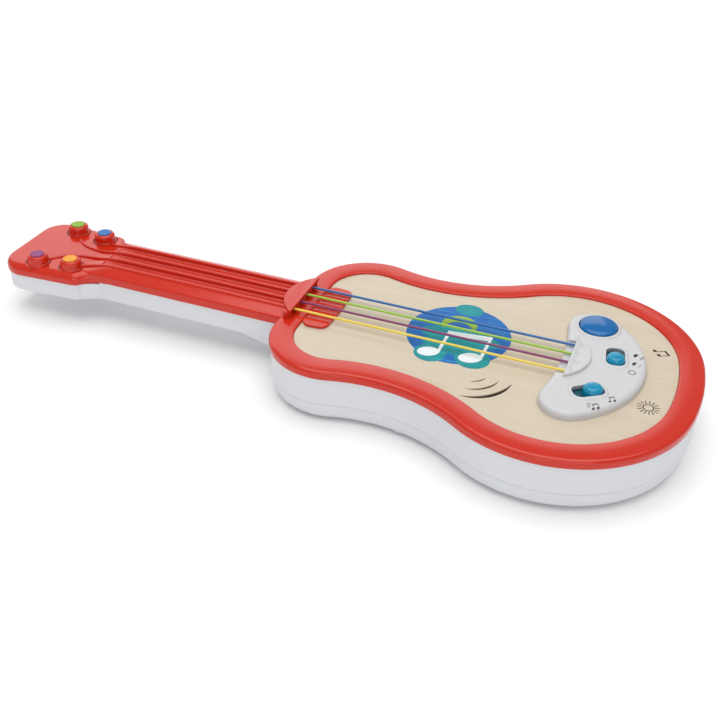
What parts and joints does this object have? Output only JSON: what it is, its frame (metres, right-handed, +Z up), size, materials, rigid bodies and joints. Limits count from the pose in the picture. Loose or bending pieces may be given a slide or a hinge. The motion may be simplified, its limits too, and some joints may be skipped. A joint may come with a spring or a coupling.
{
  "type": "toy electric guitar",
  "caption": "Toy electric guitar with a birch front, red frame, white casing, coloured fixed strings, a play button and two sliders on a control pod, and its works inside.",
  "frame": {"origin": "centre of the length and width, on the table under the back", "axes": "+X from the headstock to the tail, +Z up out of the front, the guitar lying on its back"},
  "size_m": [0.416, 0.167, 0.0404],
  "materials": {
    "top_frame": "glossy red ABS",
    "finger_plate": "glossy red ABS",
    "string_nut": "glossy red ABS",
    "wood_panel": "clear-coated birch plywood",
    "control_pod": "glossy white ABS",
    "bridge": "glossy white ABS",
    "string_blue": "coloured nylon line",
    "string_green": "coloured nylon line",
    "string_purple": "coloured nylon line",
    "string_yellow": "coloured nylon line",
    "play_button": "glossy blue ABS",
    "volume_knob": "translucent teal plastic",
    "mode_knob": "translucent teal plastic",
    "peg_disc_green": "coloured insert",
    "peg_disc_blue": "coloured insert",
    "peg_disc_purple": "coloured insert",
    "peg_disc_orange": "coloured insert",
    "mid_shell": "white ABS",
    "back_shell": "white ABS",
    "battery_door": "white ABS",
    "door_screw_left": "zinc-plated steel",
    "door_screw_right": "zinc-plated steel",
    "battery_1": "sleeved dry cell",
    "battery_2": "sleeved dry cell",
    "battery_3": "sleeved dry cell",
    "contact_springs": "nickel-plated spring steel",
    "contact_plates": "nickel-plated steel",
    "main_board": "green circuit card",
    "board_parts": "black moulded parts",
    "pod_board": "green circuit card",
    "pod_screws": "zinc-plated steel",
    "tact_switch": "black push switch",
    "button_dome": "silicone rubber dome",
    "volume_switch": "slide switch can",
    "mode_switch": "slide switch can",
    "speaker_frame": "pressed steel basket",
    "speaker_cone": "speaker cone film",
    "speaker_magnet": "ferrite magnet",
    "speaker_gasket": "foam ring",
    "speaker_bracket": "white ABS",
    "touch_film": "copper foil strips",
    "case_screws": "zinc-plated steel",
    "neck_screws": "zinc-plated steel",
    "speaker_leads": "insulated lead",
    "battery_leads": "insulated lead",
    "ribbon_cable": "flat ribbon cable"
  },
  "bodies": {
    "casing": {"top_frame": "top_frame", "finger_plate": "finger_plate", "string_nut": "string_nut", "wood_panel": "wood_panel", "control_pod": "control_pod", "bridge": "bridge", "string_blue": "string_blue", "string_green": "string_green", "string_purple": "string_purple", "string_yellow": "string_yellow", "peg_disc_green": "peg_disc_green", "peg_disc_blue": "peg_disc_blue", "peg_disc_purple": "peg_disc_purple", "peg_disc_orange": "peg_disc_orange", "mid_shell": "mid_shell", "back_shell": "back_shell", "battery_1": "battery_1", "battery_2": "battery_2", "battery_3": "battery_3", "contact_springs": "contact_springs", "contact_plates": "contact_plates", "main_board": "main_board", "board_parts": "board_parts", "pod_board": "pod_board", "pod_screws": "pod_screws", "tact_switch": "tact_switch", "button_dome": "button_dome", "volume_switch": "volume_switch", "mode_switch": "mode_switch", "speaker_frame": "speaker_frame", "speaker_cone": "speaker_cone", "speaker_magnet": "speaker_magnet", "speaker_gasket": "speaker_gasket", "speaker_bracket": "speaker_bracket", "touch_film": "touch_film", "case_screws": "case_screws", "neck_screws": "neck_screws", "speaker_leads": "speaker_leads", "battery_leads": "battery_leads", "ribbon_cable": "ribbon_cable"},
    "play_button": {"play_button": "play_button"},
    "volume_knob": {"volume_knob": "volume_knob"},
    "mode_knob": {"mode_knob": "mode_knob"},
    "battery_door": {"battery_door": "battery_door"},
    "door_screw_left": {"door_screw_left": "door_screw_left"},
    "door_screw_right": {"door_screw_right": "door_screw_right"}
  },
  "joints": [
    {"name": "play_press", "type": "slide", "parent": "casing", "child": "play_button", "axis": [0, 0, -1], "range_m": [0, 0.0015], "stiffness_N_per_m": 600, "springref_m": -0.0008, "deforming": ["button_dome"]},
    {"name": "volume_slide", "type": "slide", "parent": "casing", "child": "volume_knob", "axis": [-0.1736, 0.9848, 0], "range_m": [0, 0.005]},
    {"name": "mode_slide", "type": "slide", "parent": "casing", "child": "mode_knob", "axis": [0.829, 0.5592, 0], "range_m": [-0.005, 0]},
    {"name": "door_lift", "type": "slide", "parent": "casing", "child": "battery_door", "axis": [0, 0, -1], "range_m": [0, 0.03]},
    {"name": "door_screw_left_turn", "type": "hinge", "parent": "battery_door", "child": "door_screw_left", "pos_m": [0.125, 0.004, 0], "axis": [0, 0, 1], "continuous": true},
    {"name": "door_screw_right_turn", "type": "hinge", "parent": "battery_door", "child": "door_screw_right", "pos_m": [0.125, 0.032, 0], "axis": [0, 0, 1], "continuous": true}
  ]
}
